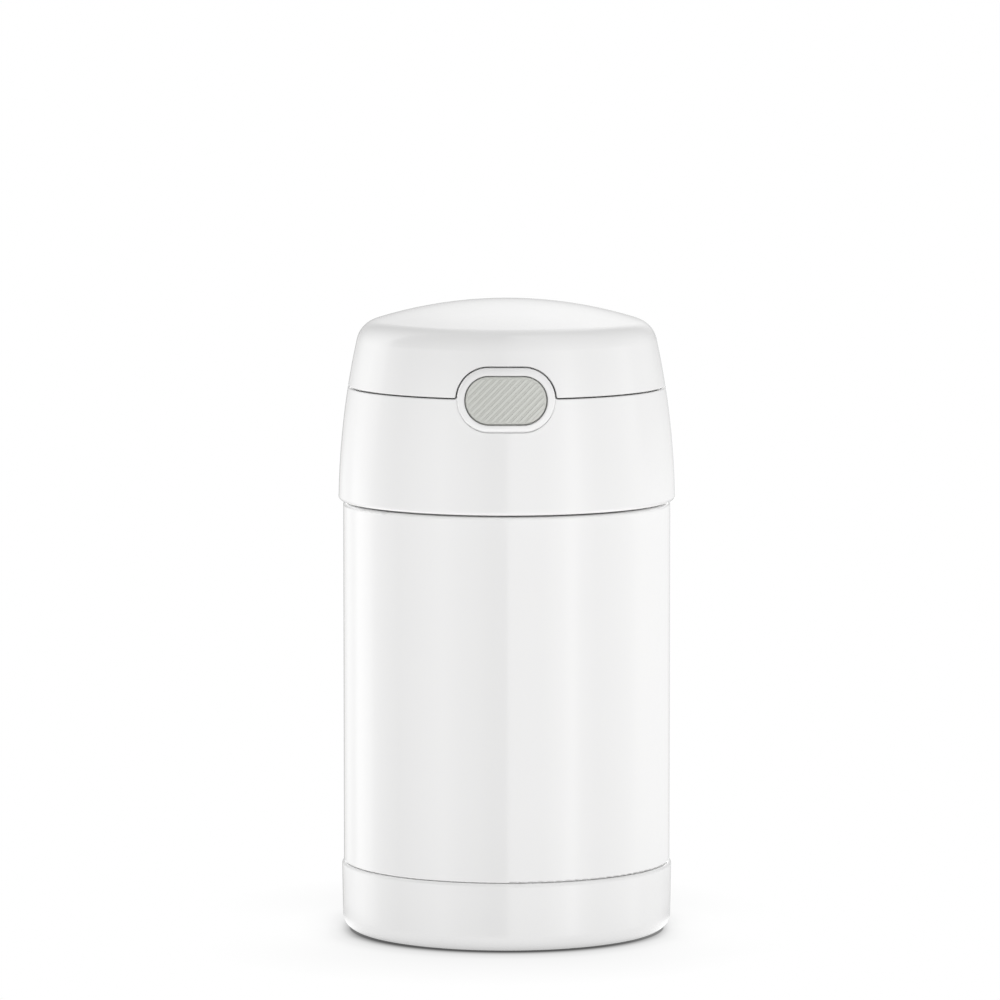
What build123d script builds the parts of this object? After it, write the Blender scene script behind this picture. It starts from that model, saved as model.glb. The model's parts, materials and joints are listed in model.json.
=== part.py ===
from build123d import *
import os
from math import hypot, radians, sin

# Insulated food jar with a push-button hinged lid.  Millimetres, +Z up, the
# origin in the middle of the underside.  The button faces -Y, the hinge +Y.
# Names ending in _z are heights above the surface that the jar stands on.

# --- steel jar ------------------------------------------------------------
steel_wall = 0.5
body_radius = 44.75             # visible steel body
body_length = 99.04              # visible steel body, boot to shoulder
body_edge_rounding = 0.6        # lower edge of the body, above the boot
shoulder_rounding = 1.0
neck_length = 21.4              # shoulder to rim
neck_vacuum_gap = 0.8
vacuum_gap = 6.95               # between the two steel walls
mouth_narrowing = 1.6           # clear opening of the jar, in from the vessel
vessel_floor_z = 15.0
vessel_floor_rounding = 9.0
vessel_taper_start = 25.0       # below the rim, where the vessel starts to narrow
vessel_taper_length = 5.5
base_plate_dome = 1.5           # raised middle of the outer base plate
base_plate_dome_radius = 26.0
evacuation_hole_radius = 1.5
seal_bead_radius = 3.0
seal_bead_height = 0.6
foil_thickness = 0.12
foil_gap = 0.15
foil_margin = 12.0              # bare vessel wall above and below the foil
getter_radius = 4.0
getter_height = 2.4
getter_offset = 15.0            # from the jar's axis
getter_clip_wall = 0.4
getter_clip_flange = 1.6

# --- plastic boot under the jar ---------------------------------------------
boot_height = 18.75
boot_wall = 1.75
boot_floor = 2.2
boot_step = 0.5                 # how far the boot stands proud of the body
boot_taper = 0.28               # smaller at the foot than at the top edge
boot_foot_rounding = 4.2
boot_edge_rounding = 0.9
foot_ring_width = 6.5           # flat ring that the jar stands on
foot_recess = 0.8
seam_gap = 0.11                 # visible gap between boot and body
glue_gap = 0.1                  # between bonded or snapped pieces

# --- screw thread, right-handed, one start ----------------------------------
thread_pitch = 5.0
thread_height = 1.3
thread_base_width = 2.4
thread_crest_width = 1.2
thread_clearance = 0.4          # radial, crest to root
thread_play = 0.4               # axial, between the loaded flanks
thread_sink = 0.25              # root of a ridge, inside the wall that carries it
neck_thread_turns = 1.25
collar_thread_turns = 1.0
neck_thread_rise = 6.1          # shoulder to the middle of the first turn

# --- collar -----------------------------------------------------------------
shell_wall = 2.0                # outer wall of collar and lid
skirt_overhang = 1.3            # collar's lower edge, proud of the body
skirt_gap = 0.5                 # shoulder to collar
skirt_rounding = 1.0
seam_inset = 1.36               # collar's upper edge, in from the body
edge_rounding = 0.3
ring_wall = 1.8                 # threaded ring inside the collar
ring_foot_height = 1.6
web_thickness = 2.1             # web of the threaded ring, over the rim
seal_gap = 0.1
jar_gasket_thickness = 1.1
jar_gasket_margin = 0.4
seal_bore_wall = 1.7
seal_bore_rise = 2.3            # above the web
moving_gap = 0.3                # between pieces that move past each other

# --- lid --------------------------------------------------------------------
lid_gap = 0.35                  # visible seam round the lid and round the bezel
lid_height = 23.75              # seam to the top of the dome
dome_radius = 120.0
crown_rise = 10.85              # seam to the station where crown_inset is measured
crown_inset = 3.35              # lid's side at that station, in from the body
crown_rounding = 7.2
liner_flange = 1.5
plug_clearance = 1.8            # between plug and seal bore
plug_wall = 1.5
plug_reach = 2.3                # plug's underside, below the web's underside
plug_rounding = 1.2
lid_gasket_depth = 0.8          # groove in the plug
lid_gasket_height = 2.0
lid_gasket_clearance = 0.4
lid_gasket_rise = 0.85          # above the web's underside
insulation_gap = 0.2
pocket_wall = 1.5               # behind and beside the bezel

# --- push button and latch --------------------------------------------------
button_width = 21.75
button_height = 12.6
button_drop = 0.27              # button's centre, below the seam
button_travel = 1.5
button_sunk = 0.25              # button's face, behind the bezel's face
button_edge_rounding = 0.4
button_flange = 1.0             # retaining flange, beyond the button's edge
button_flange_thickness = 0.6
rib_pitch = 1.36
rib_width = 0.68
rib_height = 0.25
rib_margin = 0.46
rib_angle = 45.0
bezel_width = 2.05              # ring round the button
bezel_proud = 0.9
bezel_lip = 1.2                 # thickness of the bezel over the button's flange
bezel_rounding = 1.7
bezel_corner = 0.8              # where the seam runs into the bezel
housing_wall = 0.8
slide_thickness = 1.4
slide_clearance = 0.7           # above the seal bore
slide_arm = 1.2
ledge_width = 1.2
hook_half_width = 3.4
hook_thickness = 1.3
hook_bite = 0.8                 # barb, under the ledge
hook_barb_height = 1.4
hook_foot_thickness = 1.3
hook_foot_clearance = 1.2       # above the slide
hook_foot_length = 4.5
spring_offset = 7.6             # from the middle, to each side
spring_radius = 1.1             # coil, to the middle of the wire
spring_wire_radius = 0.2
spring_turns = 3.5
spring_cup_radius = 1.9
spring_cup_bore = 1.5
spring_cup_depth = 2.4

# --- hinge ------------------------------------------------------------------
hinge_inset = 0.4               # axis, in from the seam's radius
hinge_rise = 0.2                # axis, above the lid's lower edge
barrel_radius = 2.9
pin_radius = 1.25
pin_running_gap = 0.05
pin_press_gap = 0.01
knuckle_half_span = 12.0        # both collar knuckles, from the middle outwards
lid_knuckle_half_width = 4.85

# --- heights and radii that follow ------------------------------------------
body_foot_z = boot_height + seam_gap
shoulder_z = body_foot_z + body_length
rim_z = shoulder_z + neck_length
web_z = rim_z + jar_gasket_thickness + 2 * seal_gap
web_top_z = web_z + web_thickness
seal_bore_top_z = web_top_z + seal_bore_rise
slide_z = seal_bore_top_z + slide_clearance
slide_top_z = slide_z + slide_thickness
hook_foot_z = slide_top_z + hook_foot_clearance
lid_edge_z = hook_foot_z + hook_foot_thickness
collar_edge_z = lid_edge_z - lid_gap
seam_z = lid_edge_z - lid_gap / 2
skirt_z = shoulder_z + skirt_gap
crown_z = seam_z + crown_rise
dome_top_z = seam_z + lid_height
button_z = seam_z - button_drop
hinge_z = lid_edge_z + hinge_rise

skirt_radius = body_radius + skirt_overhang
seam_radius = body_radius - seam_inset
crown_radius = body_radius - crown_inset
hinge_y = seam_radius - hinge_inset
boot_radius = body_radius + boot_step
boot_bore = boot_radius - boot_wall
boot_floor_z = foot_recess + boot_floor
shell_foot_radius = boot_bore - glue_gap
vessel_radius = body_radius - 2 * steel_wall - vacuum_gap
mouth_radius = vessel_radius - mouth_narrowing
neck_inner_radius = mouth_radius + steel_wall + neck_vacuum_gap
neck_radius = neck_inner_radius + steel_wall
ring_bore = neck_radius + thread_height + thread_clearance
ring_radius = ring_bore + ring_wall


AROUND = 200.0                  # larger than the whole object


# --- shapes that several pieces share -----------------------------------------
def circle_through(first, second, third):
    """Centre and radius of the circle through three (radius, height) points."""
    (ax, ay), (bx, by), (cx, cy) = first, second, third
    twice_area = 2 * (ax * (by - cy) + bx * (cy - ay) + cx * (ay - by))
    a2, b2, c2 = ax * ax + ay * ay, bx * bx + by * by, cx * cx + cy * cy
    x = (a2 * (by - cy) + b2 * (cy - ay) + c2 * (ay - by)) / twice_area
    y = (a2 * (cx - bx) + b2 * (ax - cx) + c2 * (bx - ax)) / twice_area
    return (x, y), hypot(ax - x, ay - y)


def spin(section):
    """Solid of revolution about Z from a section drawn as (radius, height)."""
    return revolve(Plane.XZ * section, Axis.Z)


def turned(*corners):
    """Solid of revolution from (radius, height, rounding) corners."""
    section = make_face(Polyline(*[(r, z) for r, z, _ in corners], close=True))
    for r, z, rounding in corners:
        if rounding:
            corner = section.vertices().sort_by_distance((r, z, 0))[0]
            section = fillet(corner, rounding)
    return spin(section)


def ring(inside, outside, low, high, rounding=0):
    """Round ring or, with no inside radius, a disc."""
    return turned(
        (inside, low, rounding if inside else 0),
        (outside, low, rounding),
        (outside, high, rounding),
        (inside, high, rounding if inside else 0),
    )


(side_x, side_z), side_radius = circle_through(
    (skirt_radius, skirt_z), (seam_radius, seam_z), (crown_radius, crown_z)
)


def form_radius(inset, z):
    """Radius of the outer form's side at a height, moved in by inset."""
    return side_x + ((side_radius - inset) ** 2 - (z - side_z) ** 2) ** 0.5


# The button follows the outer form at these insets.
button_lip_inset = bezel_lip - bezel_proud
button_flange_inset = button_lip_inset + moving_gap
button_back_inset = button_flange_inset + button_flange_thickness

# The latch, from the button inwards, measured forwards from the axis.  Its
# faces are upright, so that the lid can rise past the bezel.
button_top_z = button_z + button_height / 2 + button_flange
housing_out = form_radius(button_back_inset, button_top_z) - button_travel - glue_gap
housing_in = housing_out - housing_wall
pocket_radius = housing_in - moving_gap - glue_gap
hook_out = pocket_radius - 2 * glue_gap
hook_in = hook_out - hook_thickness
ledge_out = hook_in - moving_gap
ledge_in = ledge_out - ledge_width
window_out = hook_out + button_travel + moving_gap
slide_half_width = hook_half_width + 2 * moving_gap + slide_arm
seal_bore = ledge_in - button_travel - moving_gap
seal_bore_outside = seal_bore + seal_bore_wall
plug_radius = seal_bore - plug_clearance


def form(inset, low=0.0, high=AROUND):
    """Everything within the outer form of collar and lid, moved in by inset."""
    dome = Pos(0, dome_top_z - dome_radius) * Circle(dome_radius - inset)
    side = Pos(side_x, side_z) * Circle(side_radius - inset)
    quarter = Pos(0, skirt_z) * Rectangle(AROUND, AROUND, align=Align.MIN)
    section = dome & side & quarter
    crown = section.vertices().sort_by(lambda v: v.X + v.Y)[-1]
    section = fillet(crown, crown_rounding - inset)
    band = Pos(0, low) * Rectangle(AROUND, high - low, align=Align.MIN)
    return spin(section & band)


def column(radius):
    """Everything within a radius of the axis."""
    return Cylinder(radius, 2 * AROUND)


def forward(section, start=0.0):
    """Prism towards the front, from a section drawn as seen from the front."""
    return Pos(0, -start, 0) * extrude(Plane.XZ * section, AROUND)


def slot(width, height):
    """Button-shaped section, straight sides and round ends."""
    return Pos(0, button_z) * SlotOverall(width, height)


def bezel_slot(grow=0.0):
    """Outline of the bezel, larger by grow all round."""
    return slot(
        button_width + 2 * (moving_gap + bezel_width + grow),
        button_height + 2 * (moving_gap + bezel_width + grow),
    )


def collar_outline(grow, edge_z):
    """Front view of the collar, its bezel standing above the upper edge."""
    below = Pos(0, edge_z - AROUND / 2) * Rectangle(AROUND, AROUND)
    outline = below + bezel_slot(grow)
    corners = outline.vertices().sort_by(
        lambda v: abs(v.Y - edge_z) + abs(abs(v.X) - button_width / 2 - bezel_width)
    )[:2]
    return fillet(corners, bezel_corner - grow)


def front_edges(solid):
    """Edges of a prism's face at its front end."""
    return solid.edges().filter_by(lambda e: e.center().Y < -seal_bore)


def cross_bar(radius, half_length):
    """Round bar along the hinge axis."""
    bar = Cylinder(radius, 2 * half_length, rotation=(0, 90, 0))
    return Pos(0, hinge_y, hinge_z) * bar


def block(half_width, near, far, low, high):
    """Box in front of the axis, between two distances from it."""
    size = (2 * half_width, far - near, high - low)
    return Pos(0, -(near + far) / 2, (low + high) / 2) * Box(*size)


def thread(root, crest, turns):
    """Helical ridge from Z = 0 up, starting at +X, sunk into its wall."""
    outward = 1 if crest > root else -1
    path = Helix(thread_pitch, thread_pitch * turns, root)
    flank = (thread_base_width - thread_crest_width) / 2 / abs(crest - root)
    half_sunk = thread_base_width / 2 + flank * thread_sink
    half_crest = thread_crest_width / 2
    section = make_face(
        Polyline(
            (-outward * thread_sink, -half_sunk),
            (crest - root, -half_crest),
            (crest - root, half_crest),
            (-outward * thread_sink, half_sunk),
            close=True,
        )
    )
    start = Plane(origin=path @ 0, x_dir=(1, 0, 0), z_dir=path % 0)
    return sweep(start * section, path=path, is_frenet=True)


# --- steel jar ------------------------------------------------------------
neck_thread_z = shoulder_z + neck_thread_rise
collar_thread_drop = (
    (thread_base_width + thread_crest_width) / 2
    - (thread_base_width - thread_crest_width) * thread_clearance / thread_height / 2
    + thread_play
)


def make_outer_shell():
    inside = shell_foot_radius - steel_wall
    shell = turned(
        (shell_foot_radius, boot_floor_z + glue_gap, 0),
        (shell_foot_radius, body_foot_z, 0),
        (body_radius, body_foot_z, body_edge_rounding),
        (body_radius, shoulder_z, shoulder_rounding),
        (neck_radius, shoulder_z, steel_wall),
        (neck_radius, rim_z - steel_wall, 0),
        (neck_inner_radius, rim_z - steel_wall, 0),
        (neck_inner_radius, shoulder_z - steel_wall, 2 * steel_wall),
        (body_radius - steel_wall, shoulder_z - steel_wall, shoulder_rounding - steel_wall),
        (body_radius - steel_wall, body_foot_z + steel_wall, 0),
        (inside, body_foot_z + steel_wall, 0),
        (inside, boot_floor_z + glue_gap, 0),
    )
    ridge = thread(neck_radius, neck_radius + thread_height, neck_thread_turns)
    return shell + Pos(0, 0, neck_thread_z) * ridge


def make_inner_vessel():
    taper_z = rim_z - vessel_taper_start
    neck_z = taper_z + vessel_taper_length
    outer_wall = vessel_radius + steel_wall
    neck_wall = mouth_radius + steel_wall
    bend = 2 * vessel_taper_length / 3
    return turned(
        (0, vessel_floor_z - steel_wall, 0),
        (outer_wall, vessel_floor_z - steel_wall, vessel_floor_rounding + steel_wall),
        (outer_wall, taper_z, bend),
        (neck_wall, neck_z, bend),
        (neck_wall, rim_z - steel_wall, 0),
        (neck_radius, rim_z - steel_wall, 0),
        (neck_radius, rim_z, steel_wall / 2),
        (mouth_radius, rim_z, steel_wall / 2),
        (mouth_radius, neck_z, bend),
        (vessel_radius, taper_z, bend),
        (vessel_radius, vessel_floor_z, vessel_floor_rounding),
        (0, vessel_floor_z, 0),
    )


base_plate_z = boot_floor_z + glue_gap
base_dome_z = base_plate_z + base_plate_dome


def make_outer_base_plate():
    rim = shell_foot_radius - steel_wall - glue_gap / 2
    slope = base_plate_dome_radius + 2 * base_plate_dome
    return turned(
        (evacuation_hole_radius, base_dome_z, 0),
        (base_plate_dome_radius, base_dome_z, 0),
        (slope, base_plate_z, 0),
        (rim, base_plate_z, 0),
        (rim, base_plate_z + steel_wall, 0),
        (slope, base_plate_z + steel_wall, 0),
        (base_plate_dome_radius, base_dome_z + steel_wall, 0),
        (evacuation_hole_radius, base_dome_z + steel_wall, 0),
    )


def make_vacuum_seal_bead():
    return turned(
        (0, base_dome_z - seal_bead_height, 0),
        (seal_bead_radius, base_dome_z - seal_bead_height, seal_bead_height / 2),
        (seal_bead_radius, base_dome_z, 0),
        (evacuation_hole_radius - glue_gap / 2, base_dome_z, 0),
        (evacuation_hole_radius - glue_gap / 2, base_dome_z + steel_wall, 0),
        (0, base_dome_z + steel_wall, 0),
    )


def make_reflective_foil():
    inside = vessel_radius + steel_wall + foil_gap
    low = vessel_floor_z + foil_margin
    high = rim_z - vessel_taper_start - foil_margin / 2
    return ring(inside, inside + foil_thickness, low, high)


def make_getter_clip():
    floor_z = base_dome_z + steel_wall
    cup = getter_radius + glue_gap
    clip = turned(
        (0, floor_z, 0),
        (cup + getter_clip_wall + getter_clip_flange, floor_z, 0),
        (cup + getter_clip_wall + getter_clip_flange, floor_z + getter_clip_wall, 0),
        (cup + getter_clip_wall, floor_z + getter_clip_wall, 0),
        (cup + getter_clip_wall, floor_z + getter_height, 0),
        (cup, floor_z + getter_height, 0),
        (cup, floor_z + getter_clip_wall, 0),
        (0, floor_z + getter_clip_wall, 0),
    )
    return Pos(getter_offset, 0, 0) * clip


def make_getter_pellet():
    low = base_dome_z + steel_wall + getter_clip_wall
    pellet = ring(0, getter_radius, low, low + getter_height, getter_clip_wall / 2)
    return Pos(getter_offset, 0, 0) * pellet


def make_base_boot():
    foot_outside = boot_radius - boot_taper - boot_foot_rounding
    foot_inside = foot_outside - foot_ring_width
    return turned(
        (0, foot_recess, 0),
        (foot_inside - foot_recess, foot_recess, 0),
        (foot_inside, 0, 0),
        (boot_radius - boot_taper, 0, boot_foot_rounding),
        (boot_radius, boot_height, boot_edge_rounding),
        (boot_bore, boot_height, 0),
        (boot_bore, boot_floor_z, 0),
        (0, boot_floor_z, 0),
    )


def make_jar_gasket():
    low = rim_z + seal_gap
    inside = mouth_radius + jar_gasket_margin
    outside = ring_bore - jar_gasket_margin
    return ring(inside, outside, low, low + jar_gasket_thickness, seal_gap)


# --- collar -----------------------------------------------------------------
def make_collar_shell():
    blank = form(0, skirt_z, AROUND)
    skirt_edge = blank.edges().filter_by(GeomType.CIRCLE).sort_by(Axis.Z)[0]
    blank = fillet(skirt_edge, skirt_rounding)
    rear = Pos(0, AROUND / 2, collar_edge_z - AROUND / 2) * Box(AROUND, AROUND, AROUND)
    front = forward(collar_outline(0, collar_edge_z))
    wall = blank & (rear + front)
    wall -= form(shell_wall)

    bezel = forward(bezel_slot()) & form(-bezel_proud)
    bezel = fillet(front_edges(bezel), bezel_rounding)
    wall -= forward(bezel_slot())
    wall += bezel - column(housing_out)

    opening = slot(button_width + 2 * moving_gap, button_height + 2 * moving_gap)
    room = slot(
        button_width + 2 * (button_flange + moving_gap),
        button_height + 2 * (button_flange + moving_gap),
    )
    wall -= forward(opening)
    wall -= forward(room) & form(button_lip_inset)

    knuckles = cross_bar(barrel_radius, knuckle_half_span)
    knuckles -= cross_bar(barrel_radius + moving_gap, lid_knuckle_half_width + moving_gap)
    wall -= cross_bar(barrel_radius + moving_gap, lid_knuckle_half_width + moving_gap)
    wall += knuckles
    return wall - cross_bar(pin_radius + pin_press_gap, AROUND)


def make_thread_ring():
    ring_foot_z = skirt_z + skirt_gap
    body = turned(
        (ring_bore, ring_foot_z, 0),
        (AROUND, ring_foot_z, 0),
        (AROUND, ring_foot_z + ring_foot_height, 0),
        (ring_radius, ring_foot_z + ring_foot_height, 0),
        (ring_radius, web_z, 0),
        (AROUND, web_z, 0),
        (AROUND, web_top_z, 0),
        (seal_bore_outside, web_top_z, ring_wall / 2),
        (seal_bore_outside, seal_bore_top_z, edge_rounding),
        (seal_bore, seal_bore_top_z, 2 * edge_rounding),
        (seal_bore, web_z, edge_rounding),
        (ring_bore, web_z, 0),
    )
    body &= form(shell_wall + glue_gap / 2)
    body -= forward(bezel_slot(moving_gap)) - column(housing_out - moving_gap)
    ridge = thread(ring_bore, ring_bore - thread_height, collar_thread_turns)
    return body + Pos(0, 0, neck_thread_z - collar_thread_drop + thread_pitch / 2) * (
        Rot(0, 0, 180) * ridge
    )


spring_axis_z = web_top_z + 3 * glue_gap + spring_cup_radius
spring_cup_back = housing_in - spring_cup_depth


def make_latch_housing():
    plate = forward(bezel_slot(-moving_gap))
    plate &= column(housing_out) - column(housing_in)
    for side in (-1, 1):
        at = Pos(side * spring_offset, spring_axis_z)
        cup = forward(at * Circle(spring_cup_radius), spring_cup_back)
        plate += cup & column(housing_out)
        plate -= forward(at * Circle(spring_cup_bore), spring_cup_back + housing_wall)
    window_low = slide_z - moving_gap - hook_barb_height
    window_high = slide_top_z + hook_foot_clearance
    plate -= block(slide_half_width + moving_gap, ledge_in, AROUND, window_low, window_high)
    above_web = Pos(0, 0, web_top_z + glue_gap + AROUND / 2) * Box(2 * AROUND, 2 * AROUND, AROUND)
    return plate & above_web


def make_hinge_pin():
    pin = cross_bar(pin_radius, knuckle_half_span)
    return chamfer(pin.edges().filter_by(GeomType.CIRCLE), pin_radius / 5)


# --- button -----------------------------------------------------------------
def make_button_cap():
    outline = slot(button_width, button_height)
    cap = forward(outline) & form(button_sunk - bezel_proud)
    cap = fillet(front_edges(cap), button_edge_rounding)
    flange = slot(button_width + 2 * button_flange, button_height + 2 * button_flange)
    cap += forward(flange) & form(button_flange_inset)
    cap -= form(button_back_inset)

    ribbed = slot(button_width - 2 * rib_margin, button_height - 2 * rib_margin)
    reach = (button_width + button_height) / 2
    count = int(reach / rib_pitch)
    stripes = [
        Pos(i * rib_pitch / sin(radians(rib_angle)), button_z)
        * Rectangle(2 * reach, rib_width, rotation=rib_angle)
        for i in range(-count, count + 1)
    ]
    ribs = forward(Sketch() + stripes & ribbed)
    ribs &= form(button_sunk - bezel_proud - rib_height)
    return cap + (ribs - form(0))


def make_latch_slide():
    plate = block(slide_half_width, ledge_in, AROUND, slide_z, slide_top_z)
    plate &= form(button_back_inset)
    window = block(slide_half_width - slide_arm, ledge_out, window_out, 0, AROUND)
    return plate - window


def make_button_springs():
    back = spring_cup_back + housing_wall
    reach = spring_offset + spring_radius + spring_wire_radius
    front = (form_radius(button_back_inset, spring_axis_z + spring_cup_bore) ** 2 - reach**2) ** 0.5
    length = front - back - 3 * spring_wire_radius
    coil_path = Helix(length / spring_turns, length, spring_radius)
    wire = Plane(origin=coil_path @ 0, z_dir=coil_path % 0) * Circle(spring_wire_radius)
    coil = sweep(wire, path=coil_path, is_frenet=True)
    coils = [
        Pos(side * spring_offset, -back - 1.5 * spring_wire_radius, spring_axis_z)
        * (Rot(90, 0, 0) * coil)
        for side in (-1, 1)
    ]
    return Compound(children=[c.solid() for c in coils])


# --- lid --------------------------------------------------------------------
def make_lid_cover():
    blank = form(0, lid_edge_z)
    lower_edge = blank.edges().filter_by(GeomType.CIRCLE).sort_by(Axis.Z)[0]
    blank = fillet(lower_edge, edge_rounding)
    cover = blank - form(shell_wall)
    pocket = forward(bezel_slot(lid_gap + pocket_wall)) & blank
    cover += pocket - column(pocket_radius - pocket_wall)
    cover -= forward(collar_outline(lid_gap, lid_edge_z)) - column(pocket_radius)

    cover -= cross_bar(barrel_radius + moving_gap, knuckle_half_span + moving_gap) - cross_bar(
        AROUND, lid_knuckle_half_width
    )
    cover += cross_bar(barrel_radius, lid_knuckle_half_width)
    return cover - cross_bar(pin_radius + pin_running_gap, AROUND)


plug_floor_z = web_z - plug_reach
flange_top_z = lid_edge_z + liner_flange
gasket_low_z = web_z + lid_gasket_rise
gasket_bore = plug_radius - lid_gasket_depth


def make_lid_liner():
    liner = turned(
        (0, plug_floor_z, 0),
        (plug_radius, plug_floor_z, plug_rounding),
        (plug_radius, gasket_low_z, 0),
        (gasket_bore, gasket_low_z, 0),
        (gasket_bore, gasket_low_z + lid_gasket_height, 0),
        (plug_radius, gasket_low_z + lid_gasket_height, 0),
        (plug_radius, lid_edge_z, 0),
        (AROUND, lid_edge_z, 0),
        (AROUND, flange_top_z, 0),
        (plug_radius - plug_wall, flange_top_z, 0),
        (plug_radius - plug_wall, plug_floor_z + plug_wall, 0),
        (0, plug_floor_z + plug_wall, 0),
    )
    liner &= form(shell_wall + glue_gap)
    pocket = forward(bezel_slot(lid_gap + pocket_wall + glue_gap))
    liner -= pocket - column(pocket_radius - pocket_wall - glue_gap)
    return liner - cross_bar(barrel_radius + moving_gap, knuckle_half_span + moving_gap)


def make_lid_gasket():
    inside = gasket_bore + glue_gap / 2
    outside = seal_bore - lid_gasket_clearance
    low = gasket_low_z + glue_gap / 2
    return ring(inside, outside, low, low + lid_gasket_height - glue_gap, edge_rounding)


def make_lid_insulation():
    plug = ring(
        0,
        plug_radius - plug_wall - insulation_gap,
        plug_floor_z + plug_wall + insulation_gap,
        flange_top_z + insulation_gap,
    )
    dome = form(shell_wall + insulation_gap, flange_top_z + insulation_gap)
    dome &= column(pocket_radius - pocket_wall - insulation_gap)
    return plug + dome


def make_latch_hook():
    barb_z = slide_z - moving_gap - hook_barb_height
    stem = block(hook_half_width, hook_in, hook_out, barb_z, lid_edge_z)
    barb = block(
        hook_half_width, ledge_out - hook_bite, hook_out, barb_z, barb_z + hook_barb_height
    )
    foot = block(
        hook_half_width, hook_out - hook_foot_length, hook_out, hook_foot_z, lid_edge_z
    )
    return stem + barb + foot


nodes = {
    "outer_shell": make_outer_shell,
    "inner_vessel": make_inner_vessel,
    "outer_base_plate": make_outer_base_plate,
    "vacuum_seal_bead": make_vacuum_seal_bead,
    "reflective_foil": make_reflective_foil,
    "getter_clip": make_getter_clip,
    "getter_pellet": make_getter_pellet,
    "base_boot": make_base_boot,
    "jar_gasket": make_jar_gasket,
    "collar_shell": make_collar_shell,
    "thread_ring": make_thread_ring,
    "latch_housing": make_latch_housing,
    "hinge_pin": make_hinge_pin,
    "button_cap": make_button_cap,
    "latch_slide": make_latch_slide,
    "button_springs": make_button_springs,
    "lid_cover": make_lid_cover,
    "lid_liner": make_lid_liner,
    "lid_gasket": make_lid_gasket,
    "lid_insulation": make_lid_insulation,
    "latch_hook": make_latch_hook,
}

os.makedirs("parts", exist_ok=True)
for name, make in nodes.items():
    export_step(make(), f"parts/{name}.step")
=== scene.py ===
import json
from math import asin, cos, pi, radians, sin

import bmesh
import bpy
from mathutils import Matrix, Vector


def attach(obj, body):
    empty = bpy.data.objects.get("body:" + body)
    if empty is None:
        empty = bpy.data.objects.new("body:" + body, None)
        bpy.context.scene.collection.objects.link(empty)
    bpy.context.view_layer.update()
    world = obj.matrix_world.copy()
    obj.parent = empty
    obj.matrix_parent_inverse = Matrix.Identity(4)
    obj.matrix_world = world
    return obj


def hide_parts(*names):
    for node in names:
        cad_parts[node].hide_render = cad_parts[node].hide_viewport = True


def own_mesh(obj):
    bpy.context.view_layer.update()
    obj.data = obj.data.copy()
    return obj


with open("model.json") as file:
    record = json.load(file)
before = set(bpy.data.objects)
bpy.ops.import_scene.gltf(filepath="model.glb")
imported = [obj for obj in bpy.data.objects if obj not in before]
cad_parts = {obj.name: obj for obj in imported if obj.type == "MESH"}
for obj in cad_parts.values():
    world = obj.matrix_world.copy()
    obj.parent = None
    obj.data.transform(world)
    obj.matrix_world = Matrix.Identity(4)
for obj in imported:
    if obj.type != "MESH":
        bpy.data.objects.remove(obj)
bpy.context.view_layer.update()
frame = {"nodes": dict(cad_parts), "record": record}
nodes = frame["nodes"]
MM = 0.001


# --- camera ---------------------------------------------------------------
SENSOR_WIDTH = 36.0             # millimetres, as the focal length is
FOCAL_LENGTH = 264.7
CAMERA_PLACE = (0.0087, -2.0024, 0.3238)
CAMERA_DIP = 5.868              # degrees below level
CAMERA_TURN = 0.3015            # degrees to the left of straight back
CAMERA_CLIP = (0.1, 60.0)


def place_camera():
    """Long lens, slightly above the jar and a hair to its right."""
    lens = bpy.data.cameras.new("camera")
    lens.sensor_width = SENSOR_WIDTH
    lens.lens = FOCAL_LENGTH
    lens.clip_start, lens.clip_end = CAMERA_CLIP
    camera = bpy.data.objects.new("camera", lens)
    camera.location = CAMERA_PLACE
    camera.rotation_euler = (radians(90 - CAMERA_DIP), 0.0, radians(CAMERA_TURN))
    bpy.context.scene.collection.objects.link(camera)
    bpy.context.scene.camera = camera


place_camera()
bpy.context.scene.view_settings.view_transform = "Standard"


# --- building node trees --------------------------------------------------
def add_node(tree, kind, inputs=None, **settings):
    """A node whose inputs are given by name or place, as values or as sockets."""
    node = tree.nodes.new(kind)
    for key, value in settings.items():
        setattr(node, key, value)
    for key, value in (inputs or {}).items():
        if isinstance(value, bpy.types.NodeSocket):
            tree.links.new(value, node.inputs[key])
        else:
            node.inputs[key].default_value = value
    return node


def math_node(tree, operation, *values, clamp=False):
    inputs = dict(enumerate(values))
    return add_node(tree, "ShaderNodeMath", inputs, operation=operation, use_clamp=clamp).outputs[0]


def multiply(tree, first, second):
    return math_node(tree, "MULTIPLY", first, second)


def to_unit(tree, value):
    """A value from -1 to 1, moved to the 0 to 1 that a ramp covers."""
    return math_node(tree, "MULTIPLY_ADD", value, 0.5, 0.5)


def split_vector(tree, vector):
    return add_node(tree, "ShaderNodeSeparateXYZ", {0: vector}).outputs


def map_range(tree, value, start, end, first=0.0, last=1.0):
    return add_node(
        tree, "ShaderNodeMapRange",
        {"Value": value, "From Min": start, "From Max": end, "To Min": first, "To Max": last},
    ).outputs[0]


def ramp(tree, value, stops, interpolation="LINEAR"):
    """A grey ramp from (place, value) pairs."""
    node = add_node(tree, "ShaderNodeValToRGB", {"Fac": value})
    greys = node.color_ramp
    greys.interpolation = interpolation
    while len(greys.elements) > 1:
        greys.elements.remove(greys.elements[-1])
    greys.elements[0].position = stops[0][0]
    greys.elements[0].color = (stops[0][1],) * 3 + (1.0,)
    for place, level in stops[1:]:
        greys.elements.new(place).color = (level,) * 3 + (1.0,)
    return node.outputs["Color"]


def mix(tree, factor, first, second):
    return add_node(
        tree, "ShaderNodeMix", {"Factor": factor, "A": first, "B": second}
    ).outputs[0]


def mix_colours(tree, factor, first, second):
    return add_node(
        tree, "ShaderNodeMix", {"Factor": factor, 6: first, 7: second}, data_type="RGBA"
    ).outputs[2]


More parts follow.
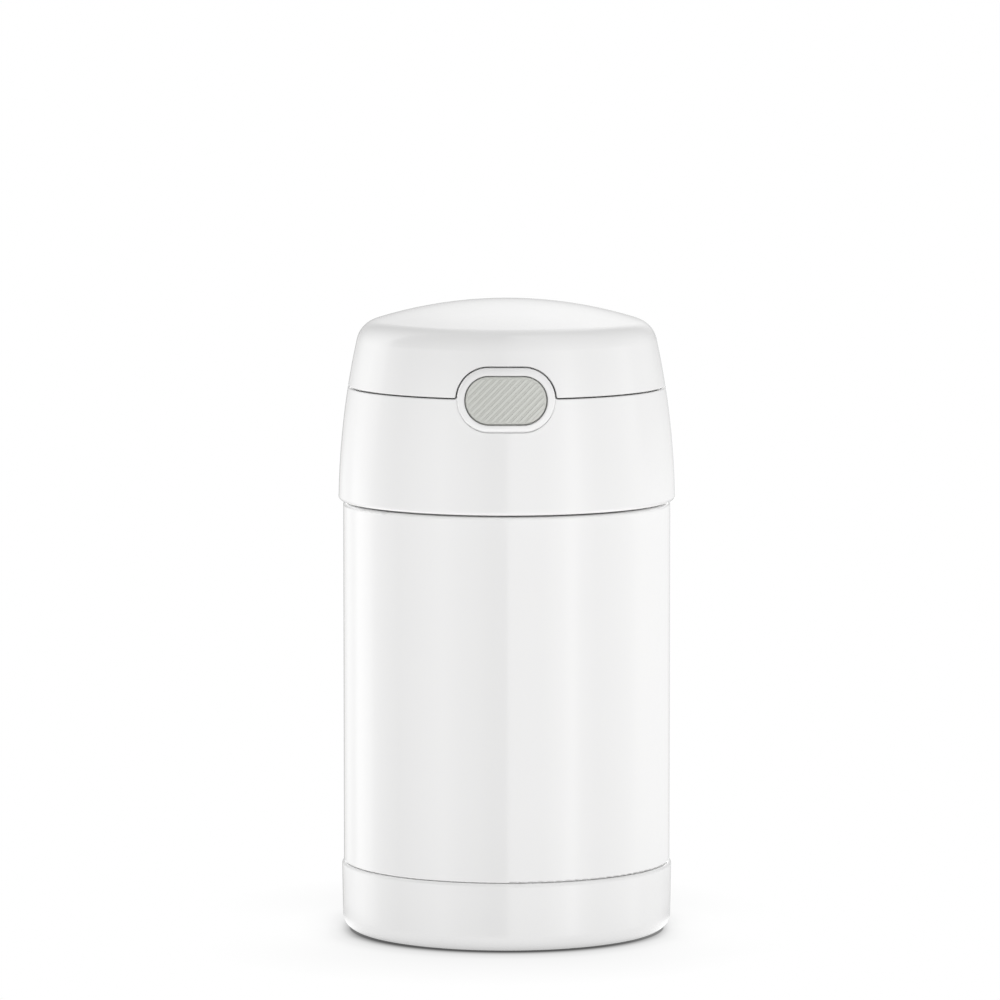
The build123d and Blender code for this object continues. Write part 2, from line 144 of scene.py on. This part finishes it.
def scale_colour(tree, colour, factor):
    return add_node(
        tree, "ShaderNodeVectorMath", {0: colour, "Scale": factor}, operation="SCALE"
    ).outputs[0]


def noise(tree, place, scale, detail, **more):
    inputs = {"Vector": place, "Scale": scale, "Detail": detail}
    return add_node(tree, "ShaderNodeTexNoise", inputs | more).outputs["Fac"]


# --- studio ---------------------------------------------------------------
# Brightness of the studio's walls as the jar's gloss shows them.  The first
# number is where the panel shows across the front of a round jar, from -1 at
# its left edge to 1 at its right edge; the second is the panel's brightness.
PANELS = [
    (-0.997, 0.40), (-0.989, 0.96), (-0.981, 1.05), (-0.973, 1.37), (-0.965, 1.51),
    (-0.952, 1.58), (-0.930, 1.62), (-0.900, 2.56), (-0.870, 2.73), (-0.830, 2.65),
    (-0.800, 2.10), (-0.650, 1.10), (-0.540, 1.45), (-0.385, 1.90), (-0.280, 1.22),
    (-0.165, 0.80), (-0.120, 0.45), (-0.070, 0.30), (0.004, 0.30), (0.014, 1.68),
    (0.220, 1.70), (0.335, 2.48), (0.385, 3.20), (0.420, 3.05), (0.455, 2.35),
    (0.550, 1.80), (0.710, 2.25), (0.805, 2.60), (0.935, 1.56), (0.972, 1.22),
    (0.988, 1.05), (0.998, 0.65),
]
# The same for what hangs higher up, which the crown shows.
UPPER_PANELS = [
    (-0.99, 0.40), (-0.93, 0.52), (-0.88, 0.52), (-0.78, 0.48), (-0.66, 0.15), (-0.40, 0.08),
    (-0.05, 0.05), (0.12, 0.85), (0.40, 1.56), (0.65, 1.53), (0.86, 1.32), (0.94, 0.85),
    (0.99, 0.40),
]
# How bright the wall behind is at a height, from the floor at 0 to overhead at 1.
# The dome and the open jar show it.
BACK_WALL = [
    (0.00, 0.55), (0.08, 0.86), (0.16, 1.08), (0.25, 1.36), (0.35, 1.61), (0.48, 1.99),
    (0.60, 2.20), (0.72, 2.00), (0.85, 1.35), (1.00, 0.74),
]
# How bright it is to its sides, from far left at -1 to far right at 1.  The lid's
# rounded ends show it.
BACK_SIDES = [
    (-0.95, 2.48), (-0.85, 2.48), (-0.75, 2.02), (-0.65, 1.61), (-0.55, 1.22), (-0.45, 0.90),
    (-0.35, 0.74), (-0.25, 0.67), (-0.15, 0.50), (0.20, 0.35), (0.30, 0.70), (0.46, 0.82),
    (0.55, 0.98), (0.65, 1.21), (0.75, 1.41), (0.85, 1.63), (0.95, 1.87),
]
BRIGHTEST = 4.0                 # more than any brightness above, to fit them in a ramp
# Where one of these takes over from another, by the direction that is looked in:
# the upper panels by height, and the wall behind by how far back.
TO_UPPER_PANELS = [(0.10, 0.0), (0.45, 1.0)]
TO_BACK_WALL = [(0.15, 0.0), (0.36, 1.0)]
# The wall behind goes by height in its middle, and by BACK_SIDES away from it.
BACK_MIDDLE = 0.05
BACK_MIDDLE_SHARE = [(0.11, 1.0), (0.36, 0.0)]
# From the first place to the second, its light grows from this share to full.
BACK_SHADE = (-0.10, 0.05, 0.88)
# In a low strip the front panels reach right round: the share of the wall behind,
# by height plus a half.
LOW_STRIP = [(0.334, 1.0), (0.348, 0.0), (0.40, 0.0), (0.45, 0.4), (0.52, 1.0)]
TO_FLOOR = [(0.40, 0.0), (0.85, 1.0)]   # the white floor, by how far down
FLOOR_GLOSS = 2.80              # the white floor, as the gloss shows it
ROOM = 3.2                      # the room, as bare metal shows it after several bounces
ROOM_DEPTH = 2.5                # bounces after which it does
# How bright the studio is for everything but gloss, from level to overhead.
SKY = [(0.0, 1.04), (0.5, 0.82), (1.0, 0.42)]
# Soft boxes: where they hang, how wide they are and their power.
SOFT_BOXES = {
    "key soft box": ((1.0, -1.2, 1.0), 0.9, 3.0),
    "fill soft box": ((-1.1, -1.1, 0.6), 1.1, 1.3),
}
LIT_SPOT = Vector((0, 0, 0.1))


def panel_walls(tree, split):
    """The panels round the jar, put where its gloss shows them across its front."""
    azimuth = math_node(tree, "ARCTAN2", split["X"], multiply(tree, split["Y"], -1.0))
    place = math_node(tree, "ADD", math_node(tree, "DIVIDE", azimuth, 2 * pi), 0.5)
    rows = [
        ramp(tree, place, [(asin(x) / pi + 0.5, light / BRIGHTEST) for x, light in row])
        for row in (PANELS, UPPER_PANELS)
    ]
    return mix(tree, ramp(tree, split["Z"], TO_UPPER_PANELS, "EASE"), *rows)


def back_wall(tree, split):
    """The wall behind: by height in its middle, by side at its ends."""
    by_height = ramp(tree, split["Z"], [(z, light / BRIGHTEST) for z, light in BACK_WALL])
    by_height = multiply(tree, by_height, map_range(tree, split["X"], *BACK_SHADE))
    by_side = ramp(
        tree, to_unit(tree, split["X"]),
        [(0.5 + 0.5 * x, light / BRIGHTEST) for x, light in BACK_SIDES],
    )
    middle = math_node(tree, "ABSOLUTE", math_node(tree, "SUBTRACT", split["X"], BACK_MIDDLE))
    return mix(tree, ramp(tree, middle, BACK_MIDDLE_SHARE, "EASE"), by_side, by_height)


def light_the_studio():
    """White surroundings, with the panels that only gloss shows."""
    world = bpy.data.worlds.new("studio")
    bpy.context.scene.world = world
    world.use_nodes = True
    tree = world.node_tree
    tree.nodes.clear()
    split = split_vector(tree, add_node(tree, "ShaderNodeTexCoord").outputs["Generated"])
    behind = multiply(
        tree, ramp(tree, split["Y"], TO_BACK_WALL, "EASE"),
        ramp(tree, math_node(tree, "ADD", split["Z"], 0.5), LOW_STRIP),
    )
    gloss = mix(tree, behind, panel_walls(tree, split), back_wall(tree, split))
    gloss = multiply(tree, gloss, BRIGHTEST)
    below = ramp(tree, multiply(tree, split["Z"], -1.0), TO_FLOOR, "EASE")
    gloss = mix(tree, below, gloss, FLOOR_GLOSS)
    path = add_node(tree, "ShaderNodeLightPath").outputs
    # What leaves the open vessel after several bounces finds an even, bright room.
    bounced = math_node(tree, "GREATER_THAN", path["Ray Depth"], ROOM_DEPTH)
    gloss = mix(tree, bounced, gloss, ROOM)
    shown = mix(tree, path["Is Glossy Ray"], ramp(tree, split["Z"], SKY), gloss)
    shown = mix(tree, path["Is Camera Ray"], shown, 1.0)
    background = add_node(tree, "ShaderNodeBackground", {"Color": (1, 1, 1, 1), "Strength": shown})
    add_node(tree, "ShaderNodeOutputWorld", {"Surface": background.outputs[0]})


def hang_soft_boxes():
    for name, (place, size, power) in SOFT_BOXES.items():
        lamp = bpy.data.lights.new(name, "AREA")
        lamp.size, lamp.energy = size, power
        box = bpy.data.objects.new(name, lamp)
        box.location = place
        box.rotation_euler = (LIT_SPOT - Vector(place)).to_track_quat("-Z", "Y").to_euler()
        box.visible_glossy = False
        box.visible_camera = False
        bpy.context.scene.collection.objects.link(box)


# --- floor ----------------------------------------------------------------
FLOOR_HALF = 20.0
FLOOR_LEVEL = -0.0001           # a hair below the boot, so that no two faces coincide
FOOT = 43.0 * MM                # radius at which the foot's outline meets the floor
CONTACT = 41.3 * MM             # radius at which it rests on the floor
# A shadow painted on the floor round the foot: how light the floor is in front of the foot, and how
# many millimetres away.
FOOT_SHADOW = [
    (0.0, 0.10), (0.5, 0.170), (2.1, 0.445), (3.8, 0.672), (5.4, 0.768), (7.0, 0.823),
    (8.7, 0.845), (10.3, 0.885), (13.6, 0.92), (23.5, 0.947), (38.0, 0.973), (55.0, 1.0),
]
# Round the foot, from -1 at its left to 1 at its right: the shadow's width over
# that in front, and how much its darkest part is lifted.
SHADOW_WIDTH = [
    (-1.00, 0.60), (-0.99, 0.66), (-0.92, 0.90), (-0.79, 0.96), (-0.60, 1.00), (-0.12, 1.00),
    (0.37, 0.95), (0.60, 0.87), (0.79, 0.76), (0.92, 0.76), (0.99, 0.52), (1.00, 0.44),
]
SHADOW_LIFT = [
    (-1.00, 0.36), (-0.99, 0.30), (-0.92, 0.12), (-0.79, 0.02), (-0.60, 0.00), (0.37, 0.00),
    (0.60, 0.03), (0.79, 0.13), (0.92, 0.35), (0.99, 0.50), (1.00, 0.54),
]
# Millimetres from the foot over which the lift sets in, and its share at the
# start; the same for the light that opens the shadow's outer part at the sides.
LIFT_RANGE = (0.0, 0.4, 0.35)
SIDE_RANGE = (2.0, 16.0, 0.0)
SIDE_POWER = 4.0                # how closely that light keeps to the sides
# The floor as it lights the jar from below: its brightness, how little the shadow
# dims it, and its share by the radius over GLOW_RADIUS.
FLOOR_GLOW = 1.00
GLOW_POWER = 0.10
GLOW_RADIUS = 0.2
GLOW_SHARE = [(0.22, 0.82), (0.60, 1.0)]
# The floor as the gloss shows it close to the foot: its brightness, how much the
# shadow dims it, and its share behind the jar, from the middle to the rear.
FOOT_GLOSS = 1.70
GLOSS_POWER = 0.5
REAR_RANGE = (-5 * MM, 20 * MM, 1.0, 0.42)
# Where the gloss stops showing the floor, by the radius over OPEN_RADIUS.
OPEN_RADIUS = 0.1
OPEN_SHARE = [(0.50, 0.0), (0.75, 1.0)]


def foot_shadow(tree, split, radius):
    """How light the floor is round the foot: a painted shadow, set by radius and side, not cast by
    the jar.
    """
    side = math_node(tree, "DIVIDE", split["X"], radius)
    to_side = math_node(tree, "POWER", math_node(tree, "ABSOLUTE", side), SIDE_POWER)
    side = to_unit(tree, side)
    width, lift = [
        ramp(tree, side, [(0.5 + 0.5 * x, value) for x, value in row])
        for row in (SHADOW_WIDTH, SHADOW_LIFT)
    ]
    away = math_node(tree, "DIVIDE", math_node(tree, "SUBTRACT", radius, FOOT), width)
    edge = FOOT_SHADOW[-1][0]
    light = ramp(
        tree, math_node(tree, "DIVIDE", away, edge * MM),
        [(distance / edge, value) for distance, value in FOOT_SHADOW],
    )
    lifted, opened = [
        map_range(tree, radius, FOOT + start * MM, FOOT + end * MM, first)
        for start, end, first in (LIFT_RANGE, SIDE_RANGE)
    ]
    light = mix(tree, multiply(tree, lift, lifted), light, 1.0)
    return mix(tree, multiply(tree, to_side, opened), light, 1.0)


def make_floor_paper():
    paper = bpy.data.materials.new("floor paper")
    paper.use_nodes = True
    tree = paper.node_tree
    tree.nodes.clear()
    split = split_vector(tree, add_node(tree, "ShaderNodeTexCoord").outputs["Object"])
    across, along = [multiply(tree, split[axis], split[axis]) for axis in "XY"]
    radius = math_node(tree, "SQRT", math_node(tree, "ADD", across, along))
    # The floor glows; the foot's painted shadow dims that glow for the camera, for the gloss and
    # for the light it sends up.
    light = foot_shadow(tree, split, radius)
    path = add_node(tree, "ShaderNodeLightPath").outputs

    under = math_node(tree, "GREATER_THAN", radius, CONTACT)
    glow = multiply(tree, math_node(tree, "POWER", light, GLOW_POWER), under)
    near = ramp(tree, math_node(tree, "DIVIDE", radius, GLOW_RADIUS), GLOW_SHARE)
    glow = multiply(tree, multiply(tree, glow, near), FLOOR_GLOW)
    mirrored = multiply(tree, math_node(tree, "POWER", light, GLOSS_POWER), FOOT_GLOSS)
    mirrored = multiply(tree, mirrored, map_range(tree, split["Y"], *REAR_RANGE))
    strength = mix(tree, path["Is Glossy Ray"], glow, mirrored)
    strength = mix(tree, path["Is Camera Ray"], strength, light)
    paper_light = add_node(tree, "ShaderNodeEmission", {"Strength": strength})

    # Gloss shows the floor near the foot, and the studio's walls beyond it.
    far = ramp(tree, math_node(tree, "DIVIDE", radius, OPEN_RADIUS), OPEN_SHARE)
    open_floor = add_node(tree, "ShaderNodeBsdfTransparent")
    both = add_node(
        tree, "ShaderNodeMixShader",
        {
            0: multiply(tree, path["Is Glossy Ray"], far),
            1: paper_light.outputs[0],
            2: open_floor.outputs[0],
        },
    )
    add_node(tree, "ShaderNodeOutputMaterial", {"Surface": both.outputs[0]})
    return paper


def lay_floor():
    mesh = bpy.data.meshes.new("floor")
    corners = [(-1, -1), (1, -1), (1, 1), (-1, 1)]
    mesh.from_pydata(
        [(x * FLOOR_HALF, y * FLOOR_HALF, FLOOR_LEVEL) for x, y in corners], [], [(0, 1, 2, 3)]
    )
    floor = bpy.data.objects.new("floor", mesh)
    bpy.context.scene.collection.objects.link(floor)
    mesh.materials.append(make_floor_paper())


light_the_studio()
hang_soft_boxes()
lay_floor()


# --- effects that several materials share ---------------------------------
SKIN_CLOUDS = 38.0              # noise scales per metre
METAL_CLOUDS = 60.0
DUST_SPECKS = 2600.0
SMUDGE_RANGE = (0.50, 0.75)     # noise from which a smudge shows, and is full
DUST_RANGE = (0.68, 0.74)
LINES_ROUND = 3.0               # how often a turned line changes on its way round


def new_effect(name, inputs, outputs):
    """An empty node group with named inputs and outputs."""
    group = bpy.data.node_groups.new(name, "ShaderNodeTree")
    for label, kind, value in inputs:
        socket = group.interface.new_socket(label, in_out="INPUT", socket_type="NodeSocket" + kind)
        socket.default_value = value
    for label, kind in outputs:
        group.interface.new_socket(label, in_out="OUTPUT", socket_type="NodeSocket" + kind)
    return group, group.nodes.new("NodeGroupInput").outputs


def finish_effect(group, **outputs):
    end = group.nodes.new("NodeGroupOutput")
    for label, socket in outputs.items():
        group.links.new(socket, end.inputs[label.replace("_", " ")])


def around_axis(tree, place):
    """A place on the piece as its radius, height and angle round the jar's axis."""
    split = split_vector(tree, place)
    squares = multiply(tree, split["X"], split["X"])
    squares = math_node(tree, "MULTIPLY_ADD", split["Y"], split["Y"], squares)
    angle = math_node(tree, "ARCTAN2", split["Y"], split["X"])
    return math_node(tree, "SQRT", squares), split["Z"], angle


def make_moulded_skin():
    """Slight unevenness of a moulded or sprayed skin."""
    group, given = new_effect(
        "moulded skin",
        [
            ("Colour", "Color", (0.8, 0.8, 0.8, 1)),
            ("Shade Variation", "Float", 0.02),
            ("Roughness", "Float", 0.2),
            ("Roughness Variation", "Float", 0.04),
            ("Grain Size", "Float", 0.6 * MM),
            ("Grain Depth", "Float", 0.5),
        ],
        [("Colour", "Color"), ("Roughness", "Float"), ("Height", "Float")],
    )
    place = add_node(group, "ShaderNodeTexCoord").outputs["Object"]
    clouds = noise(group, place, SKIN_CLOUDS, 3.0)
    grain = noise(group, place, math_node(group, "DIVIDE", 1.0, given["Grain Size"]), 2.0)
    swing = math_node(group, "SUBTRACT", clouds, 0.5)
    shade = math_node(group, "MULTIPLY_ADD", swing, given["Shade Variation"], 1.0)
    rough = multiply(group, swing, given["Roughness Variation"])
    rough = math_node(group, "ADD", given["Roughness"], rough)
    height = multiply(group, grain, given["Grain Depth"])
    colour = scale_colour(group, given["Colour"], shade)
    finish_effect(group, Colour=colour, Roughness=rough, Height=height)
    return group


def make_eased_edges():
    """Edges rounded a little in the shading, and where they are."""
    group, given = new_effect(
        "eased edges",
        [("Radius", "Float", 0.25 * MM), ("Wear", "Float", 0.5)],
        [("Normal", "Vector"), ("Edge", "Float")],
    )
    eased = add_node(group, "ShaderNodeBevel", {"Radius": given["Radius"]}, samples=6).outputs[0]
    flat = add_node(group, "ShaderNodeNewGeometry").outputs["Normal"]
    along = add_node(
        group, "ShaderNodeVectorMath", {0: eased, 1: flat}, operation="DOT_PRODUCT"
    ).outputs["Value"]
    edge = math_node(group, "SUBTRACT", 1.0, along, clamp=True)
    edge = math_node(group, "MULTIPLY", edge, given["Wear"], clamp=True)
    finish_effect(group, Normal=eased, Edge=edge)
    return group


def make_shaded_hollows():
    """How far a spot lies in a narrow hollow, from 0 in the open to 1, found by ambient occlusion;
    materials darken hollows by it as painted shade.
    """
    group, given = new_effect(
        "shaded hollows",
        [("Reach", "Float", 0.8 * MM), ("Strength", "Float", 0.5)],
        [("Hollow", "Float")],
    )
    open_share = add_node(
        group, "ShaderNodeAmbientOcclusion", {"Distance": given["Reach"]}, samples=8
    ).outputs["AO"]
    hollow = math_node(group, "SUBTRACT", 1.0, open_share, clamp=True)
    hollow = math_node(group, "MULTIPLY", hollow, given["Strength"], clamp=True)
    finish_effect(group, Hollow=hollow)
    return group


def make_handling_marks():
    """Faint smudges where hands hold the jar, and fine dust on level faces."""
    group, given = new_effect(
        "handling marks",
        [
            ("Smudge Size", "Float", 14 * MM),
            ("Smudge Strength", "Float", 0.05),
            ("Dust Strength", "Float", 0.02),
        ],
        [("Roughness", "Float"), ("Dust", "Float")],
    )
    place = add_node(group, "ShaderNodeTexCoord").outputs["Object"]
    scale = math_node(group, "DIVIDE", 1.0, given["Smudge Size"])
    smudge = noise(group, place, scale, 4.0, Roughness=0.6, Distortion=0.4)
    smudge = map_range(group, smudge, *SMUDGE_RANGE)
    rough = multiply(group, smudge, given["Smudge Strength"])
    specks = map_range(group, noise(group, place, DUST_SPECKS, 1.0), *DUST_RANGE)
    normal = add_node(group, "ShaderNodeNewGeometry").outputs["Normal"]
    level = math_node(group, "MAXIMUM", split_vector(group, normal)["Z"], 0.0)
    dust = multiply(group, multiply(group, specks, level), given["Dust Strength"])
    finish_effect(group, Roughness=rough, Dust=dust)
    return group


def make_turned_grain():
    """Fine lines that run round the jar's axis, as spinning and polishing leave them."""
    group, given = new_effect(
        "turned grain",
        [
            ("Colour", "Color", (0.6, 0.6, 0.6, 1)),
            ("Line Size", "Float", 0.12 * MM),
            ("Contrast", "Float", 0.2),
            ("Roughness", "Float", 0.3),
            ("Roughness Variation", "Float", 0.12),
        ],
        [("Colour", "Color"), ("Roughness", "Float"), ("Height", "Float")],
    )
    place = add_node(group, "ShaderNodeTexCoord").outputs["Object"]
    radius, height, angle = around_axis(group, place)
    scale = math_node(group, "DIVIDE", 1.0, given["Line Size"])
    lines_at = add_node(
        group, "ShaderNodeCombineXYZ",
        {
            "X": multiply(group, radius, scale),
            "Y": multiply(group, height, scale),
            "Z": multiply(group, angle, LINES_ROUND),
        },
    ).outputs[0]
    lines = noise(group, lines_at, 1.0, 4.0)
    clouds = noise(group, place, METAL_CLOUDS, 3.0)
    swing = math_node(group, "SUBTRACT", lines, 0.5)
    shade = math_node(group, "MULTIPLY_ADD", swing, given["Contrast"], 1.0)
    both = math_node(group, "ADD", swing, math_node(group, "SUBTRACT", clouds, 0.5))
    rough = math_node(group, "MULTIPLY_ADD", both, given["Roughness Variation"], given["Roughness"])
    colour = scale_colour(group, given["Colour"], shade)
    finish_effect(group, Colour=colour, Roughness=rough, Height=lines)
    return group


moulded_skin = make_moulded_skin()
eased_edges = make_eased_edges()
shaded_hollows = make_shaded_hollows()
handling_marks = make_handling_marks()
turned_grain = make_turned_grain()


# --- materials ------------------------------------------------------------
def grey(value, warmth=0.0):
    return (value * (1 + warmth), value, value * (1 - warmth), 1.0)


WHITE = grey(0.83, 0.002)
BUTTON_GREY = (0.620, 0.628, 0.592, 1.0)
DUST = grey(0.55, 0.06)
POLISHED = grey(0.85)           # metal on its worn edges


def start_material(name):
    material = bpy.data.materials.new(name)
    material.use_nodes = True
    material.node_tree.nodes.clear()
    return material, material.node_tree


def place_effect(tree, group, **values):
    node = tree.nodes.new("ShaderNodeGroup")
    node.node_tree = group
    for key, value in values.items():
        socket = node.inputs[key.replace("_", " ")]
        if isinstance(value, bpy.types.NodeSocket):
            tree.links.new(value, socket)
        else:
            socket.default_value = value
    return node.outputs


def finish_material(tree, colour, skin, marks, edges, depth, metallic):
    """The surface, with the height of its skin as relief this deep."""
    relief = add_node(
        tree, "ShaderNodeBump",
        {"Height": skin["Height"], "Normal": edges["Normal"], "Distance": depth, "Strength": 1.0},
    ).outputs[0]
    rough = math_node(tree, "ADD", skin["Roughness"], marks["Roughness"])
    surface = add_node(
        tree, "ShaderNodeBsdfPrincipled",
        {"Base Color": colour, "Roughness": rough, "Normal": relief, "Metallic": metallic},
    )
    add_node(tree, "ShaderNodeOutputMaterial", {"Surface": surface.outputs[0]})


def plastic(name, colour, roughness, grain_size, grain_depth, edge, edge_colour,
            hollow_shade_colour=None):
    """Moulded plastic or rubber: skin, eased edges, handling marks, a little dust, and painted
    shade in narrow hollows where a shade colour is given.
    """
    material, tree = start_material(name)
    skin = place_effect(
        tree, moulded_skin, Colour=colour, Shade_Variation=0.02,
        Roughness=roughness, Grain_Size=grain_size, Grain_Depth=1.0,
    )
    edges = place_effect(tree, eased_edges, Radius=edge, Wear=0.6)
    marks = place_effect(tree, handling_marks, Smudge_Strength=0.04, Dust_Strength=0.15)
    # Along its edges the colour goes toward a lighter grey.
    edged = mix_colours(tree, edges["Edge"], skin["Colour"], edge_colour)
    if hollow_shade_colour:
        # Painted shade: where ambient occlusion finds a narrow hollow, the colour is darkened
        # toward the shade colour.
        hollows = place_effect(tree, shaded_hollows, Reach=0.7 * MM, Strength=0.5)
        edged = mix_colours(tree, hollows["Hollow"], edged, hollow_shade_colour)
    dusty = mix_colours(tree, marks["Dust"], edged, DUST)
    finish_material(tree, dusty, skin, marks, edges, grain_depth, 0.0)
    return material


def metal(name, colour, roughness, line_size, line_depth, contrast=0.2):
    """Bare metal with the lines of turning round the jar's axis."""
    material, tree = start_material(name)
    grain = place_effect(
        tree, turned_grain, Colour=colour, Line_Size=line_size,
        Contrast=contrast, Roughness=roughness,
    )
    edges = place_effect(tree, eased_edges, Radius=0.15 * MM, Wear=0.8)
    marks = place_effect(tree, handling_marks, Smudge_Strength=0.08, Dust_Strength=0.0)
    edged = mix_colours(tree, edges["Edge"], grain["Colour"], POLISHED)
    finish_material(tree, edged, grain, marks, edges, line_depth, 1.0)
    return material


finishes = {
    "coated_steel": plastic(
        "gloss coat on steel", WHITE, 0.09, 0.9 * MM, 0.0004 * MM, 0.12 * MM, grey(0.86)
    ),
    "white_gloss_plastic": plastic(
        "white gloss plastic", WHITE, 0.12, 2.2 * MM, 0.0006 * MM, 0.60 * MM, grey(0.88)
    ),
    "inner_plastic": plastic(
        "inner plastic", grey(0.74, 0.01), 0.34, 0.35 * MM, 0.006 * MM, 0.2 * MM, grey(0.8)
    ),
    "grey_plastic": plastic(
        "button plastic", BUTTON_GREY, 0.38, 0.3 * MM, 0.004 * MM, 0.12 * MM, grey(0.66),
        # painted shade in the button's grooves and gaps
        hollow_shade_colour=grey(0.3, 0.02),
    ),
    "clear_silicone": plastic(
        "silicone", grey(0.68, 0.01), 0.42, 0.25 * MM, 0.004 * MM, 0.15 * MM, grey(0.75)
    ),
    "foam": plastic(
        "moulded foam", grey(0.8, 0.03), 0.9, 0.7 * MM, 0.12 * MM, 0.3 * MM, grey(0.8)
    ),
    "bare_steel": metal("turned steel", grey(0.66, 0.004), 0.3, 0.12 * MM, 0.002 * MM),
    "seal_metal": metal("seal metal", grey(0.5, 0.01), 0.5, 0.3 * MM, 0.004 * MM),
    "foil": metal("foil", grey(0.8), 0.12, 1.2 * MM, 0.01 * MM, 0.05),
}
slot_of = {subpart["node"]: subpart["material_slot"] for subpart in frame["record"]["subparts"]}

for node_name, slot_name in slot_of.items():
    for place in nodes[node_name].material_slots:
        place.material = finishes[slot_name]


# --- springs behind the button --------------------------------------------
def wind_coil(springs, start, radius, wire, pitch, turns, steps, sides):
    """One coil along Y, as a tube with closed ends round a helix."""
    x, y, z = start
    rings = []
    for step in range(steps + 1):
        turn = 2 * pi * turns * step / steps
        out = Vector((cos(turn), 0.0, sin(turn)))
        along = Vector((-radius * sin(turn), pitch, radius * cos(turn))).normalized()
        up = along.cross(out)
        middle = Vector((x, y + pitch * turn, z)) + radius * out
        around = [2 * pi * corner / sides for corner in range(sides)]
        rings.append(
            [springs.verts.new(middle + wire * (cos(a) * out + sin(a) * up)) for a in around]
        )
    for one, two in zip(rings, rings[1:]):
        for corner in range(sides):
            after = (corner + 1) % sides
            springs.faces.new((one[corner], one[after], two[after], two[corner])).smooth = True
    springs.faces.new(rings[0])
    springs.faces.new(rings[-1])


def wind_button_springs():
    """Two coils behind the button, which ride with it; the CAD springs are hidden."""
    front, rear = -41.59 * MM, -37.05 * MM      # the coils' ends at rest
    apart, height = 7.6 * MM, 144.9 * MM        # from the middle, and from the floor
    radius, wire, turns = 1.1 * MM, 0.2 * MM, 3.5
    steps, sides = 126, 12      # rings along a coil, and corners round its wire
    pitch = (rear - front - 2 * wire) / (2 * pi * turns)
    springs = bmesh.new()
    for side in (-1, 1):
        start = (side * apart, front + wire, height)
        wind_coil(springs, start, radius, wire, pitch, turns, steps, sides)
    bmesh.ops.recalc_face_normals(springs, faces=springs.faces)
    mesh = bpy.data.meshes.new("coil_springs")
    springs.to_mesh(mesh)
    springs.free()
    piece = bpy.data.objects.new("coil_springs", mesh)
    bpy.context.scene.collection.objects.link(piece)
    slot = slot_of["button_springs"]
    mesh.materials.append(finishes[slot])
    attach(piece, "button")
    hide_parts("button_springs")
    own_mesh(piece)


wind_button_springs()
